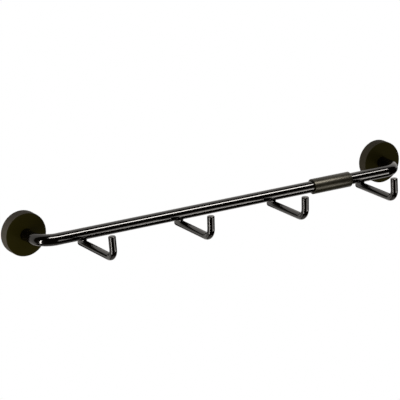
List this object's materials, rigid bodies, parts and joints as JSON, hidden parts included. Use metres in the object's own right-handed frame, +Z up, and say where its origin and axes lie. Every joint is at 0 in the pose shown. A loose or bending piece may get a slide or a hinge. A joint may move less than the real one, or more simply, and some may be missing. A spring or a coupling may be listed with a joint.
{
  "type": "magnetic utensil holder",
  "caption": "Round black bar bent back to a jacketed pot magnet at each end, with upturned wire hooks welded under it for hanging utensils on a steel surface.",
  "frame": {"origin": "on the flat steel surface that the magnets grip, midway between the two magnets' centres", "axes": "+X along the bar, +Y into the steel surface, +Z up with the hooks' tips; the holder lies at y <= 0"},
  "size_m": [0.3912, 0.0878, 0.0372],
  "materials": {
    "gloss_black_powder_coat": "gloss black powder coat with a faint orange peel",
    "satin_black_sleeve": "satin, very dark brown-black soft tube",
    "matt_black_rubber": "matt moulded rubber with a slight olive cast",
    "zinc_plated_steel": "bright zinc plate on pressed steel",
    "grey_ferrite": "ground dark grey ferrite",
    "bright_screw_steel": "bright plated screw steel"
  },
  "bodies": {
    "root": {"bar": "gloss_black_powder_coat", "hook_1": "gloss_black_powder_coat", "hook_weld_1": "gloss_black_powder_coat", "hook_2": "gloss_black_powder_coat", "hook_weld_2": "gloss_black_powder_coat", "hook_3": "gloss_black_powder_coat", "hook_weld_3": "gloss_black_powder_coat", "hook_4": "gloss_black_powder_coat", "hook_weld_4": "gloss_black_powder_coat", "label_sleeve": "satin_black_sleeve", "left_rubber_jacket": "matt_black_rubber", "left_steel_cup": "zinc_plated_steel", "left_ferrite_ring": "grey_ferrite", "left_screw": "bright_screw_steel", "right_rubber_jacket": "matt_black_rubber", "right_steel_cup": "zinc_plated_steel", "right_ferrite_ring": "grey_ferrite", "right_screw": "bright_screw_steel"}
  },
  "joints": []
}
